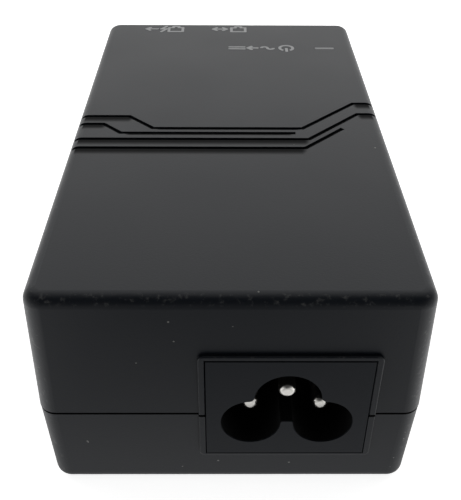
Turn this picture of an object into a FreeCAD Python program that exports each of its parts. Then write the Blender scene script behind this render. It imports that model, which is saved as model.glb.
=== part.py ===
import FreeCAD, Part
import Sketcher
import math
import os

# A mains-powered injector that feeds a network cable: a two-shell plastic case with an
# appliance inlet in its front end, two network jacks in its rear end, and a power supply inside.
# Millimetres. +Z is up, +Y runs from the inlet to the jacks, and +X is on the right of
# someone who faces the inlet. The origin is under the middle of the case, on the surface it
# stands on. Distances named *_from_front are measured from the face of the inlet.

Vector = FreeCAD.Vector
ALONG_Y = FreeCAD.Rotation(Vector(1, 0, 0), -90)
ALONG_X = FreeCAD.Rotation(Vector(0, 1, 0), 90)

doc = FreeCAD.newDocument("poe_injector")
sheet = doc.addObject("Spreadsheet::Sheet", "dims")
node_objects = []
written_rows = []


# ---------------------------------------------------------------- the sheet of dimensions

def dims(**values):
    for alias, number in values.items():
        written_rows.append(alias)
        row = len(written_rows)
        sheet.set(f"A{row}", alias)
        sheet.set(f"B{row}", str(number))
        sheet.setAlias(f"B{row}", alias)


def number(alias):
    return float(sheet.getContents(sheet.getCellFromAlias(alias)))


def named(expression):
    # "case_width / 2" becomes an expression on the sheet's cells
    words = expression.replace("(", " ( ").replace(")", " ) ").split()
    return " ".join(f"dims.{word}" if word in written_rows else word for word in words)


def from_front(expression):
    return f"{expression} - overall_length / 2"


# ---------------------------------------------------------------- building blocks

def add_node(thing, label):
    thing.Label = label
    node_objects.append(thing)
    return thing


def set_place(thing, x, y, z, rotation=None):
    if rotation:
        thing.Placement = FreeCAD.Placement(Vector(0, 0, 0), rotation)
    for axis, expression in (("x", x), ("y", y), ("z", z)):
        thing.setExpression(f".Placement.Base.{axis}", named(expression))


def block(name, x, y, z, width, depth, height):
    # a box centred on x and y that stands on z
    box = doc.addObject("Part::Box", name)
    box.setExpression("Length", named(width))
    box.setExpression("Width", named(depth))
    box.setExpression("Height", named(height))
    set_place(box, f"{x} - ( {width} ) / 2", f"{y} - ( {depth} ) / 2", z)
    return box


def rod(name, x, y, z, radius, height, rotation=None):
    cylinder = doc.addObject("Part::Cylinder", name)
    cylinder.setExpression("Radius", named(radius))
    cylinder.setExpression("Height", named(height))
    set_place(cylinder, x, y, z, rotation)
    return cylinder


def fused(name, *pieces):
    fuse = doc.addObject("Part::MultiFuse", name)
    fuse.Shapes = list(pieces)
    return fuse


def grouped(name, *pieces):
    group = doc.addObject("Part::Compound", name)
    group.Links = list(pieces)
    return group


def cut(name, base, *tools):
    tool = tools[0] if len(tools) == 1 else grouped(name + "_tools", *tools)
    result = doc.addObject("Part::Cut", name)
    result.Base = base
    result.Tool = tool
    return result


def rounded(name, base, radius, is_edge):
    doc.recompute()
    fillet = doc.addObject("Part::Fillet", name)
    fillet.Base = base
    size = number(radius)
    chosen = [i for i, edge in enumerate(base.Shape.Edges, 1) if is_edge(edge)]
    fillet.Edges = [(i, size, size) for i in chosen]
    return fillet


def edge_middle(edge):
    low, high = edge.ParameterRange
    return edge.valueAt((low + high) / 2)


# ---------------------------------------------------------------- sketched bodies

def new_body(name):
    body = doc.addObject("PartDesign::Body", name)
    return body


def new_sketch(body, role, offset="0"):
    sketch = body.newObject("Sketcher::SketchObject", body.Name + "_sketch")
    plane = [item for item in body.Origin.OriginFeatures if item.Role == role][0]
    sketch.AttachmentSupport = [(plane, "")]
    sketch.MapMode = "FlatFace"
    sketch.setExpression(".AttachmentOffset.Base.z", named(offset))
    return sketch


def bind_last(sketch, expression):
    sketch.setExpression(f"Constraints[{sketch.ConstraintCount - 1}]", named(expression))


def rectangle(sketch, left, right, low, high):
    first = sketch.GeometryCount
    corners = [Vector(-1, -1, 0), Vector(1, -1, 0), Vector(1, 1, 0), Vector(-1, 1, 0)]
    for start, end in zip(corners, corners[1:] + corners[:1]):
        sketch.addGeometry(Part.LineSegment(start, end))
    for side, direction in enumerate(("Horizontal", "Vertical", "Horizontal", "Vertical")):
        following = first + (side + 1) % 4
        sketch.addConstraint(Sketcher.Constraint("Coincident", first + side, 2, following, 1))
        sketch.addConstraint(Sketcher.Constraint(direction, first + side))
    for side, axis, expression in (
        (0, "DistanceX", left), (0, "DistanceY", low), (2, "DistanceX", right), (2, "DistanceY", high)
    ):
        sketch.addConstraint(Sketcher.Constraint(axis, first + side, 1, 1.0))
        bind_last(sketch, expression)


def circle(sketch, x, y, radius):
    index = sketch.addGeometry(Part.Circle(Vector(1, 1, 0), Vector(0, 0, 1), 1))
    sketch.addConstraint(Sketcher.Constraint("Radius", index, 1.0))
    bind_last(sketch, radius)
    for axis, expression in (("DistanceX", x), ("DistanceY", y)):
        sketch.addConstraint(Sketcher.Constraint(axis, index, 3, 1.0))
        bind_last(sketch, expression)


def extrude(body, kind, sketch, length, taper="0", back=False):
    # a Pad has to add volume and a Pocket has to take some away, or its direction is wrong
    doc.recompute()
    before = 0.0 if body.Tip is None else body.Tip.Shape.Volume
    feature = body.newObject(f"PartDesign::{kind}", f"{body.Name}_{kind}")
    feature.Profile = sketch
    feature.setExpression("Length", named(length))
    feature.setExpression("TaperAngle", named(taper))
    feature.Reversed = back
    doc.recompute()
    change = feature.Shape.Volume - before
    if change * (1 if kind == "Pad" else -1) < 0.01:
        raise RuntimeError(f"{feature.Name} changed the volume by {change:.1f} mm3")
    return feature


def ease_edges(body, kind, size, is_edge):
    # kind is Fillet or Chamfer
    doc.recompute()
    base = body.Tip
    chosen = [f"Edge{i}" for i, edge in enumerate(base.Shape.Edges, 1) if is_edge(edge)]
    feature = body.newObject(f"PartDesign::{kind}", f"{body.Name}_{kind}")
    feature.Base = (base, chosen)
    feature.setExpression("Radius" if kind == "Fillet" else "Size", named(size))
    doc.recompute()
    if feature.Shape.isNull() or not feature.Shape.isValid():
        raise RuntimeError(f"{feature.Name} is not valid")
    return feature


# ---------------------------------------------------------------- dimensions that parts share

dims(
    overall_length=96.0,      # face of the inlet to the rear end of the case
    case_length=95.6,         # at the joint between the covers
    case_width=53.18,         # at the joint between the covers
    case_height=35.33,
    foot_proud=0.5,           # how far the feet stand out of the case
    joint_height=14.97,       # middle of the joint, above the bottom of the case
    joint_gap=0.42,
    wall=2.2,
    corner_radius=2.6,
    top_radius=1.75,
    bottom_radius=1.5,
    top_draft=1.2,            # degrees
    bottom_draft=1.9,
    bottom_inset=0.05,        # the bottom cover is this much smaller all round
    lip_width=1.0,
    lip_height=1.4,
    board_height=4.0,         # underside of the board above the bottom of the case
    board_thickness=1.6,
    screw_x=19.8,
    front_screw_from_front=18.5,
    rear_screw_from_front=68.5,
    screw_radius=1.3,
    screw_boss_radius=2.6,
    post_radius=3.5,
    screw_head_radius=2.7,
    screw_head_height=1.4,
    screw_head_low=1.7,       # above the bottom of the case
    screw_pilot_depth=10.5,
    foot_radius=3.6,
    foot_recess=1.0,
    can_edge=0.7,
    can_neck=0.5,
    can_neck_height=2.2,
    inlet_x=7.85,
    plate_width=22.3,
    plate_height=18.1,
    plate_low=7.17,           # above the bottom of the case
    plate_gap=0.14,
    port_x=0.0,               # the right-hand jack
    port_pitch=13.97,
    port_block_width=30.0,
    port_block_height=13.3,
    shield_thickness=0.3,
    light_x=19.8,
    light_from_front=81.0,
    light_width=3.9,
    light_depth=0.9,
)

CASE_TOP = "( foot_proud + case_height )"
JOINT_TOP = "( foot_proud + joint_height + joint_gap / 2 )"
JOINT_LOW = "( foot_proud + joint_height - joint_gap / 2 )"
BOARD_LOW = "( foot_proud + board_height )"
BOARD_TOP = "( foot_proud + board_height + board_thickness )"
CASE_FRONT = "( overall_length / 2 - case_length )"
CASE_REAR = "( overall_length / 2 )"
PLATE_MIDDLE = "( foot_proud + plate_low + plate_height / 2 )"
PORT_MIDDLE = "( port_x - port_pitch / 2 )"
SCREWS = [
    (x, from_front(y))
    for x in ("screw_x", "-1 * screw_x")
    for y in ("front_screw_from_front", "rear_screw_from_front")
]


def negative(expression):
    return f"-1 * ( {expression} )"


# ---------------------------------------------------------------- the two covers

dims(
    boss_width=24.4,
    boss_low=6.5,            # above the bottom of the case
    boss_top=26.2,
    boss_depth=3.4,
    boss_corner_radius=0.9,
    boss_edge_radius=0.24,
    opening_edge=0.12,
    groove_width=0.8,
    groove_depth=0.45,
    opening_gap=0.15,
    hole_gap=0.12,
    rebate_gap=0.1,
    window_gap=0.05,
)


def is_upright_corner(edge):
    ends = [vertex.Point for vertex in edge.Vertexes]
    return len(ends) == 2 and abs(ends[0].z - ends[1].z) > 5


def is_at_height(height):
    return lambda edge: all(abs(vertex.Z - height) < 0.01 for vertex in edge.Vertexes)


def add_inlet_boss(body, low, high):
    # a raised frame round the inlet, with rounded corners and edges
    front = "overall_length / 2"
    sketch = new_sketch(body, "XZ_Plane", front)
    left = "inlet_x - boss_width / 2"
    right = "inlet_x + boss_width / 2"
    rectangle(sketch, left, right, low, high)
    extrude(body, "Pad", sketch, "boss_depth", back=True)
    far_z = number("foot_proud") + number("boss_top")
    near_z = number("foot_proud") + number("boss_low")
    face_y = -number("overall_length") / 2
    half = number("boss_width") / 2

    def is_outer_corner(edge):
        middle = edge_middle(edge)
        at_end = min(abs(middle.z - far_z), abs(middle.z - near_z)) < 0.01
        at_side = abs(abs(middle.x - number("inlet_x")) - half) < 0.01
        ends_on_face = any(abs(vertex.Y - face_y) < 0.01 for vertex in edge.Vertexes)
        return at_end and at_side and ends_on_face

    def is_face_edge(edge):
        on_face = all(abs(vertex.Y - face_y) < 0.01 for vertex in edge.Vertexes)
        on_joint = abs(edge_middle(edge).z - number("foot_proud") - number("joint_height")) < 1
        return on_face and not (on_joint and edge.BoundBox.ZLength < 0.1)

    ease_edges(body, "Fillet", "boss_corner_radius", is_outer_corner)
    ease_edges(body, "Fillet", "boss_edge_radius", is_face_edge)


def cut_inlet_opening(body, low, high):
    sketch = new_sketch(body, "XZ_Plane", "overall_length / 2 + 1")
    half = "( plate_width / 2 + plate_gap )"
    rectangle(sketch, f"inlet_x - {half}", f"inlet_x + {half}", low, high)
    extrude(body, "Pocket", sketch, "boss_depth + 2")


def ease_inlet_opening(body):
    face_y = -number("overall_length") / 2
    half_width = number("plate_width") / 2 + number("plate_gap")

    def is_opening_edge(edge):
        on_face = all(abs(vertex.Y - face_y) < 0.01 for vertex in edge.Vertexes)
        across = abs(edge_middle(edge).x - number("inlet_x"))
        is_side = edge.BoundBox.ZLength > 1 and abs(across - half_width) < 0.01
        is_end = abs(edge.BoundBox.XLength - 2 * half_width) < 0.01
        return on_face and (is_side or is_end)

    ease_edges(body, "Chamfer", "opening_edge", is_opening_edge)


def cut_port_opening(body, low, high):
    sketch = new_sketch(body, "XZ_Plane", "-1 * overall_length / 2 - 1")
    half = "( port_block_width / 2 + shield_thickness + opening_gap )"
    rectangle(sketch, f"{PORT_MIDDLE} - {half}", f"{PORT_MIDDLE} + {half}", low, high)
    extrude(body, "Pocket", sketch, "wall + 2", back=True)


def rim(body, role_height, inset):
    # the case's outline at the joint, moved inwards by inset
    sketch = new_sketch(body, "XY_Plane", role_height)
    half = f"( case_width / 2 - ( {inset} ) )"
    rectangle(sketch, negative(half), half, f"{CASE_FRONT} + {inset}", f"{CASE_REAR} - ( {inset} )")
    return sketch


GROOVES = [
    # x across the case, then distance from the inlet's face, along each groove's centre line
    [(-30.0, 49.9), (-17.4, 49.9), (-13.0, 45.5), (12.4, 45.5), (22.2, 55.1), (30.0, 55.1)],
    [(-30.0, 47.0), (-21.5, 47.0), (-18.3, 43.8), (11.1, 43.8)],
    [(-30.0, 41.7), (13.2, 41.7), (22.4, 50.9), (30.0, 50.9)],
    [(-30.0, 38.7), (12.4, 38.7), (19.2, 45.5)],
]


def groove_tool():
    # each centre line is widened with mitred bends and square ends, and sunk into the top
    half = number("groove_width") / 2
    top = number("foot_proud") + number("case_height")
    shift = Vector(0, -number("overall_length") / 2, top - number("groove_depth"))
    solids = []
    for line in GROOVES:
        points = [Vector(x, y, 0) for x, y in line]
        left = []
        right = []
        for i, point in enumerate(points):
            before = (point - points[max(i - 1, 0)])
            after = (points[min(i + 1, len(points) - 1)] - point)
            ways = [way.normalize() for way in (before, after) if way.Length > 0]
            normals = [Vector(-way.y, way.x, 0) for way in ways]
            mitre = sum(normals[1:], normals[0])
            mitre = mitre * (half * len(normals) / mitre.dot(mitre))
            left.append(point + mitre)
            right.append(point - mitre)
        outline = left + right[::-1]
        wire = Part.makePolygon([point + shift for point in outline + outline[:1]])
        solids.append(Part.Face(wire).extrude(Vector(0, 0, 5)))
    grooves = doc.addObject("Part::Feature", "top_grooves")
    grooves.Shape = Part.makeCompound(solids)
    return grooves


def make_top_cover():
    body = new_body("top_shell")
    height = f"{CASE_TOP} - {JOINT_TOP}"
    extrude(body, "Pad", rim(body, JOINT_TOP, "0"), height, taper="-1 * top_draft")
    ease_edges(body, "Fillet", "corner_radius", is_upright_corner)
    top = number("foot_proud") + number("case_height")
    ease_edges(body, "Fillet", "top_radius", is_at_height(top))
    add_inlet_boss(body, JOINT_TOP, "foot_proud + boss_top")
    cut_inlet_opening(body, JOINT_LOW, "foot_proud + plate_low + plate_height + plate_gap")
    ease_inlet_opening(body)
    extrude(body, "Pocket", rim(body, JOINT_TOP, "wall"), f"{height} - wall", "-1 * top_draft", True)
    rebate_inset = "wall - lip_width - rebate_gap"
    extrude(body, "Pocket", rim(body, JOINT_TOP, rebate_inset), "lip_height - joint_gap", back=True)
    bosses = new_sketch(body, "XY_Plane", BOARD_TOP)
    for x, y in SCREWS:
        circle(bosses, x, y, "screw_boss_radius")
    extrude(body, "Pad", bosses, f"{CASE_TOP} - wall / 2 - {BOARD_TOP}")
    pilots = new_sketch(body, "XY_Plane", BOARD_TOP)
    for x, y in SCREWS:
        circle(pilots, x, y, "screw_radius")
    extrude(body, "Pocket", pilots, "screw_pilot_depth", back=True)
    port_top = f"{BOARD_TOP} + port_block_height + shield_thickness + opening_gap"
    cut_port_opening(body, JOINT_LOW, port_top)
    window = new_sketch(body, "XY_Plane", f"{CASE_TOP} + 1")
    x = "light_x"
    y = from_front("light_from_front")
    half_width = "( light_width / 2 + window_gap )"
    half_depth = "( light_depth / 2 + window_gap )"
    sides = (f"{x} - {half_width}", f"{x} + {half_width}", f"{y} - {half_depth}", f"{y} + {half_depth}")
    rectangle(window, *sides)
    extrude(body, "Pocket", window, "wall + 2")
    add_node(cut("top_cover", body, groove_tool()), "top_cover")


def make_bottom_cover():
    body = new_body("bottom_cover")
    depth = f"{JOINT_LOW} - foot_proud"
    extrude(body, "Pad", rim(body, JOINT_LOW, "bottom_inset"), depth, "-1 * bottom_draft", True)
    ease_edges(body, "Fillet", "corner_radius", is_upright_corner)
    ease_edges(body, "Fillet", "bottom_radius", is_at_height(number("foot_proud")))
    add_inlet_boss(body, "foot_proud + boss_low", JOINT_LOW)
    cut_inlet_opening(body, "foot_proud + plate_low - plate_gap", f"{JOINT_LOW} + 3")
    cavity = rim(body, JOINT_LOW, "bottom_inset + wall")
    extrude(body, "Pocket", cavity, f"{depth} - wall", "-1 * bottom_draft")
    lip = rim(body, JOINT_LOW, "wall")
    half = "( case_width / 2 - wall + lip_width )"
    front = f"{CASE_FRONT} + wall - lip_width"
    rear = f"{CASE_REAR} - wall + lip_width"
    rectangle(lip, negative(half), half, front, rear)
    extrude(body, "Pad", lip, "lip_height")
    cut_inlet_opening(body, JOINT_LOW, f"{JOINT_LOW} + 3")
    posts = new_sketch(body, "XY_Plane", BOARD_LOW)
    for x, y in SCREWS:
        circle(posts, x, y, "post_radius")
    extrude(body, "Pad", posts, "board_height - wall / 2", back=True)
    for radius, depth in (
        ("foot_radius + hole_gap", "foot_recess"),
        ("screw_head_radius + hole_gap", "screw_head_low + screw_head_height"),
        ("screw_radius", "board_height + 1"),
    ):
        holes = new_sketch(body, "XY_Plane", "foot_proud")
        for x, y in SCREWS:
            circle(holes, x, y, radius)
        extrude(body, "Pocket", holes, depth, back=True)
    cut_port_opening(body, BOARD_TOP, f"{JOINT_LOW} + 3")
    add_node(body, "bottom_cover")


# ---------------------------------------------------------------- the mains inlet

dims(
    plate_depth=2.6,
    inlet_body_width=20.6,
    inlet_body_height=16.4,
    inlet_depth=14.0,
    inlet_flange_margin=1.2,
    inlet_flange_from_front=3.4,
    inlet_flange_depth=1.0,
    recess_depth=12.2,
    lobe_radius=4.15,
    top_lobe_radius=4.6,
    cusp_radius=0.8,          # rounds the corners between the lobes
    pin_pitch=10.0,
    pin_height=13.65,         # live and neutral pins above the bottom of the case
    earth_rise=4.5,           # earth pin above the other two
    tongue_width=1.5,
    tongue_top=13.8,
    pin_radius=1.2,
    pin_tip_radius=0.7,
    pin_root_radius=1.5,      # where the pin passes through the housing's back wall
    power_pin_from_front=3.2,
    earth_pin_from_front=1.4,
    pin_end_from_front=15.4,
    tail_width=1.2,
    tail_below_board=1.0,
)

PINS = {
    # x, height of the axis, distance of the tip from the inlet's face
    "inlet_line_pin": ("inlet_x - pin_pitch / 2", "pin_height", "power_pin_from_front"),
    "inlet_neutral_pin": ("inlet_x + pin_pitch / 2", "pin_height", "power_pin_from_front"),
    "inlet_earth_pin": ("inlet_x", "pin_height + earth_rise", "earth_pin_from_front"),
}


def cusp_height():
    # where the earth pin's lobe meets a power pin's lobe, above the power pins
    near = number("lobe_radius")
    across = number("pin_pitch") / 2
    rise = number("earth_rise")
    between = math.hypot(across, rise)
    along = (near ** 2 - number("top_lobe_radius") ** 2 + between ** 2) / (2 * between)
    off = math.sqrt(near ** 2 - along ** 2)
    return (along * rise + off * across) / between


def make_inlet_housing():
    body = new_body("inlet_housing")
    face = "overall_length / 2"
    middle = PLATE_MIDDLE
    extrudes = (
        ("plate_width / 2", "plate_height / 2", "0", "plate_depth"),
        ("inlet_body_width / 2", "inlet_body_height / 2", "1", "inlet_depth - 1"),
    )
    for half_x, half_z, start, depth in extrudes:
        sketch = new_sketch(body, "XZ_Plane", f"{face} - {start}")
        across = (f"inlet_x - {half_x}", f"inlet_x + {half_x}")
        rectangle(sketch, *across, f"{middle} - {half_z}", f"{middle} + {half_z}")
        extrude(body, "Pad", sketch, depth, back=True)
    # the flange behind the covers' front walls stops at the board
    flange = new_sketch(body, "XZ_Plane", f"{face} - inlet_flange_from_front")
    half_x = "( plate_width / 2 + inlet_flange_margin )"
    flange_top = f"{middle} + plate_height / 2 + inlet_flange_margin"
    rectangle(flange, f"inlet_x - {half_x}", f"inlet_x + {half_x}", BOARD_TOP, flange_top)
    extrude(body, "Pad", flange, "inlet_flange_depth", back=True)
    for x, height, tip in PINS.values():
        radius = "top_lobe_radius" if "earth" in tip else "lobe_radius"
        lobe = new_sketch(body, "XZ_Plane", face)
        circle(lobe, x, f"foot_proud + {height}", radius)
        extrude(body, "Pocket", lobe, "recess_depth")
    cusp_z = number("foot_proud") + number("pin_height") + cusp_height()

    def is_cusp(edge):
        runs_back = edge.BoundBox.YLength > 5
        return runs_back and edge.BoundBox.ZLength < 0.01 and abs(edge_middle(edge).z - cusp_z) < 0.05

    ease_edges(body, "Fillet", "cusp_radius", is_cusp)
    tongue = new_sketch(body, "XZ_Plane", face)
    half = "( tongue_width / 2 )"
    rectangle(
        tongue, f"inlet_x - {half}", f"inlet_x + {half}",
        "foot_proud + pin_height - lobe_radius", "foot_proud + tongue_top",
    )
    extrude(body, "Pad", tongue, "recess_depth", back=True)
    holes = new_sketch(body, "XZ_Plane", f"{face}")
    for x, height, tip in PINS.values():
        circle(holes, x, f"foot_proud + {height}", "pin_root_radius")
    extrude(body, "Pocket", holes, "inlet_depth + 1")
    add_node(body, "inlet_housing")


def make_inlet_pins():
    # a round pin with a domed tip, and a square tail that goes down through the board
    for label, (x, height, tip) in PINS.items():
        z = f"foot_proud + {height}"
        low = f"{BOARD_LOW} - tail_below_board"
        shank = rod(f"{label}_shank", x, from_front(tip), z, "pin_radius", f"recess_depth - {tip}", ALONG_Y)
        root_length = "pin_end_from_front - recess_depth"
        root_size = ("pin_root_radius", root_length, ALONG_Y)
        root = rod(f"{label}_root", x, from_front("recess_depth"), z, *root_size)
        doc.recompute()
        tip_y = number(tip) - number("overall_length") / 2
        domed = rounded(
            f"{label}_domed", shank, "pin_tip_radius", lambda edge: abs(edge.BoundBox.YMax - tip_y) < 0.01
        )
        tail_y = from_front("pin_end_from_front - tail_width / 2")
        tail = block(f"{label}_tail", x, tail_y, low, "tail_width", "tail_width", f"{z} - ( {low} )")
        add_node(fused(label, domed, root, tail), label)


# ---------------------------------------------------------------- the circuit board

dims(
    board_width=46.0,
    board_front_from_front=4.6,
    board_rear_from_front=92.0,
    board_hole_radius=1.5,
    tail_hole_width=1.4,
    insulation_thickness=0.3,
    insulation_width=44.0,
    insulation_length=84.0,
    insulation_from_front=49.0,
    insulation_hole_radius=4.0,
)


def make_board():
    length = "( board_rear_from_front - board_front_from_front )"
    middle = from_front(f"board_front_from_front + {length} / 2")
    slab = block("board_slab", "0", middle, BOARD_LOW, "board_width", length, "board_thickness")
    tools = [
        rod(f"board_hole_{i}", x, y, f"{BOARD_LOW} - 1", "board_hole_radius", "board_thickness + 2")
        for i, (x, y) in enumerate(SCREWS)
    ]
    for i, (x, height, tip) in enumerate(PINS.values()):
        y = from_front("pin_end_from_front - tail_width / 2")
        size = ("tail_hole_width", "tail_hole_width", "board_thickness + 2")
        tools.append(block(f"board_slot_{i}", x, y, f"{BOARD_LOW} - 1", *size))
    add_node(cut("circuit_board", slab, *tools), "circuit_board")
    size = ("insulation_width", "insulation_length", "insulation_thickness")
    film = block("film", "0", from_front("insulation_from_front"), "foot_proud + wall", *size)
    holes = [
        rod(f"film_hole_{i}", x, y, "foot_proud", "insulation_hole_radius", "board_height")
        for i, (x, y) in enumerate(SCREWS)
    ]
    add_node(cut("insulation_sheet", film, *holes), "insulation_sheet")


# ---------------------------------------------------------------- the network jacks

dims(
    port_front_from_front=74.2,
    port_face_inset=0.4,      # the shield's face behind the rear end of the case
    socket_width=11.9,
    socket_height=7.0,
    socket_low=4.0,           # above the board
    socket_end_from_front=80.0,
    latch_width=6.5,
    latch_height=1.5,
    key_width=3.8,
    key_height=1.3,
    mouth_gap=0.1,
    carrier_width=9.0,
    carrier_depth=1.5,
    carrier_height=1.5,
    carrier_from_rear=5.6,
    wire_count=8,
    wire_pitch=1.02,
    wire_radius=0.23,
    wire_length=9.0,
    wire_slope=20.0,          # degrees below level
    wire_drop=0.65,           # the root of a wire below the roof of the socket
    wire_gap=0.2,
)

PORTS = {"lan": "port_x", "poe": "( port_x - port_pitch )"}
SOCKET_LOW = f"( {BOARD_TOP} + socket_low )"
SOCKET_TOP = f"( {BOARD_TOP} + socket_low + socket_height )"
SHIELD_FACE = f"( {CASE_REAR} - port_face_inset )"


def socket_blocks(prefix, x, front, rear, margin="0"):
    # the stepped outline that a plug and its latch need, as three overlapping boxes
    depth = f"( {rear} - ( {front} ) )"
    middle = f"( {front} + {depth} / 2 )"
    steps = (
        ("plug", "socket_width", SOCKET_LOW, "socket_height"),
        ("latch", "latch_width", f"{SOCKET_LOW} - latch_height", "latch_height + 1"),
        ("key", "key_width", f"{SOCKET_LOW} - latch_height - key_height", "key_height + 1"),
    )
    return [
        block(f"{prefix}_{step}", x, middle, f"{low} - {margin}", f"{width} + 2 * {margin}", depth,
              f"{height} + 2 * {margin}")
        for step, width, low, height in steps
    ]


def make_port_housing():
    front = from_front("port_front_from_front")
    rear = f"( {SHIELD_FACE} - shield_thickness )"
    depth = f"( {rear} - ( {front} ) )"
    middle = f"( {front} + {depth} / 2 )"
    size = ("port_block_width", depth, "port_block_height")
    solid = block("port_block", PORT_MIDDLE, middle, BOARD_TOP, *size)
    tools = []
    for port, x in PORTS.items():
        tools += socket_blocks(f"{port}_socket", x, from_front("socket_end_from_front"), f"{rear} + 1")
    add_node(cut("port_housing", solid, *tools), "port_housing")


def make_port_shield():
    front = from_front("port_front_from_front + 1")
    depth = f"( {SHIELD_FACE} - ( {front} ) )"
    middle = f"( {front} + {depth} / 2 )"
    width = "( port_block_width + 2 * shield_thickness )"
    size = (width, depth, "port_block_height + shield_thickness")
    outside = block("shield_outside", PORT_MIDDLE, middle, BOARD_TOP, *size)
    hollow_y = f"{middle} - shield_thickness"
    hollow_z = f"{BOARD_TOP} - 1"
    size = ("port_block_width", depth, "port_block_height + 1")
    tools = [block("shield_hollow", PORT_MIDDLE, hollow_y, hollow_z, *size)]
    for port, x in PORTS.items():
        rear = f"{SHIELD_FACE} + 1"
        tools += socket_blocks(f"{port}_mouth", x, f"{SHIELD_FACE} - 2", rear, "mouth_gap")
    add_node(cut("port_shield", outside, *tools), "port_shield")


def make_contacts():
    # eight sprung wires hang from a bar under the roof of each socket and slope down into it
    carriers = []
    root_y = f"( {CASE_REAR} - carrier_from_rear - carrier_depth / 2 - wire_gap )"
    slope = FreeCAD.Rotation(Vector(1, 0, 0), 90 + number("wire_slope"))
    for port, x in PORTS.items():
        carrier_y = f"{CASE_REAR} - carrier_from_rear"
        size = ("carrier_width", "carrier_depth", "carrier_height")
        carriers.append(block(f"{port}_carrier", x, carrier_y, f"{SOCKET_TOP} - carrier_height", *size))
        wires = []
        for i in range(int(number("wire_count"))):
            wire_x = f"{x} + ( {i} - ( wire_count - 1 ) / 2 ) * wire_pitch"
            z = f"{SOCKET_TOP} - wire_drop"
            wires.append(rod(f"{port}_wire_{i}", wire_x, root_y, z, "wire_radius", "wire_length", slope))
        add_node(grouped(f"{port}_contacts", *wires), f"{port}_contacts")
    add_node(grouped("contact_carriers", *carriers), "contact_carriers")


# ---------------------------------------------------------------- the status light

dims(
    led_width=3.2,
    led_depth=1.6,
    led_height=1.1,
    light_gap=0.4,
    light_flange=1.0,
)


def make_light():
    y = from_front("light_from_front")
    size = ("led_width", "led_depth", "led_height")
    add_node(block("power_led", "light_x", y, BOARD_TOP, *size), "power_led")
    low = f"( {BOARD_TOP} + led_height + light_gap )"
    column = block("light_column", "light_x", y, low, "light_width", "light_depth", f"{CASE_TOP} - {low}")
    size = ("light_width + 2 * light_flange", "light_depth + 2 * light_flange", "light_flange")
    flange = block("light_shoulder", "light_x", y, f"{CASE_TOP} - wall - light_flange", *size)
    add_node(fused("light_pipe", column, flange), "light_pipe")


# ---------------------------------------------------------------- parts on the board

dims(
    fuse_x=-14.0, fuse_from_front=9.0, fuse_radius=4.2, fuse_height=7.8,
    varistor_x=-7.2, varistor_from_front=10.5, varistor_radius=5.2, varistor_thickness=4.0,
    xcap_x=-8.5, xcap_from_front=25.0, xcap_width=18.0, xcap_depth=8.5, xcap_height=15.0,
    choke_x=9.0, choke_from_front=26.5, choke_radius=7.0, choke_hole_radius=4.0, choke_height=6.0,
    choke_wire=1.0, choke_lift=1.2, choke_winding_angle=120.0,
    bridge_x=7.2, bridge_from_front=38.0,
    bridge_width=15.0, bridge_depth=3.6, bridge_height=11.0,
    bulk_x=-13.0, bulk_from_front=39.0, bulk_radius=9.0, bulk_height=24.5,
    core_x=6.0, core_from_front=52.0, core_width=20.0, core_depth=10.0, core_height=18.5, core_wall=3.2,
    bobbin_depth=17.4, bobbin_flange=1.0, bobbin_wall=0.8, core_lift=0.6,
    center_leg_radius=3.6, winding_radius=6.3,
    switch_x=18.9, switch_from_front=38.5, diode_from_front=57.0,
    package_thickness=4.4, package_width=10.0, package_height=15.4, package_lift=4.0,
    moulding_height=9.4, tab_thickness=1.3, lead_pitch=2.54, lead_thickness=0.5, lead_width=0.9,
    sink_thickness=1.6, sink_height=23.0, sink_width=15.0, sink_screw_height=16.5, sink_screw_radius=1.5,
    sink_screw_head_radius=2.6, sink_screw_head=1.4,
    disc_leg_spacing=5.0, disc_leg_width=0.6, disc_lift=0.9,
    ycap_x=-11.5, ycap_from_front=53.5, ycap_radius=4.2, ycap_thickness=3.6,
    opto_x=-20.0, opto_from_front=53.0, opto_width=4.6, opto_depth=6.5, opto_height=3.6,
    chip_x=-16.0, chip_from_front=60.6, chip_width=9.9, chip_depth=3.9, chip_height=1.6,
    output_cap_radius=4.0, output_cap_height=16.0,
    first_cap_x=7.2, first_cap_from_front=67.8, second_cap_x=13.2, second_cap_from_front=78.8,
    coil_x=13.2, coil_from_front=87.6, coil_radius=4.0, coil_height=9.0, coil_flange=0.8,
    magnetics_x=-7.0, magnetics_from_front=67.6,
    magnetics_width=15.8, magnetics_depth=9.6, magnetics_height=5.6,
    resistor_width=1.6, resistor_depth=3.2, resistor_height=0.55, resistor_pitch=2.2, resistor_count=6,
    resistor_x=-16.2, resistor_from_front=49.9,
)


def on_board(name, x, y, width, depth, height):
    return block(name, x, from_front(y), BOARD_TOP, width, depth, height)


def capacitor_can(name, x, y, radius, height):
    # an aluminium can in its sleeve, with a rolled neck above the base and an eased top edge
    can = rod(f"{name}_can", x, from_front(y), BOARD_TOP, radius, height)
    doc.recompute()
    top = can.Shape.BoundBox.ZMax
    eased = rounded(f"{name}_eased", can, "can_edge", lambda edge: abs(edge.BoundBox.ZMin - top) < 0.01)
    ring = doc.addObject("Part::Torus", f"{name}_neck")
    ring.setExpression("Radius1", named(radius))
    ring.setExpression("Radius2", named("can_neck"))
    set_place(ring, x, from_front(y), f"{BOARD_TOP} + can_neck_height")
    return cut(f"{name}_body", eased, ring)


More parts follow.
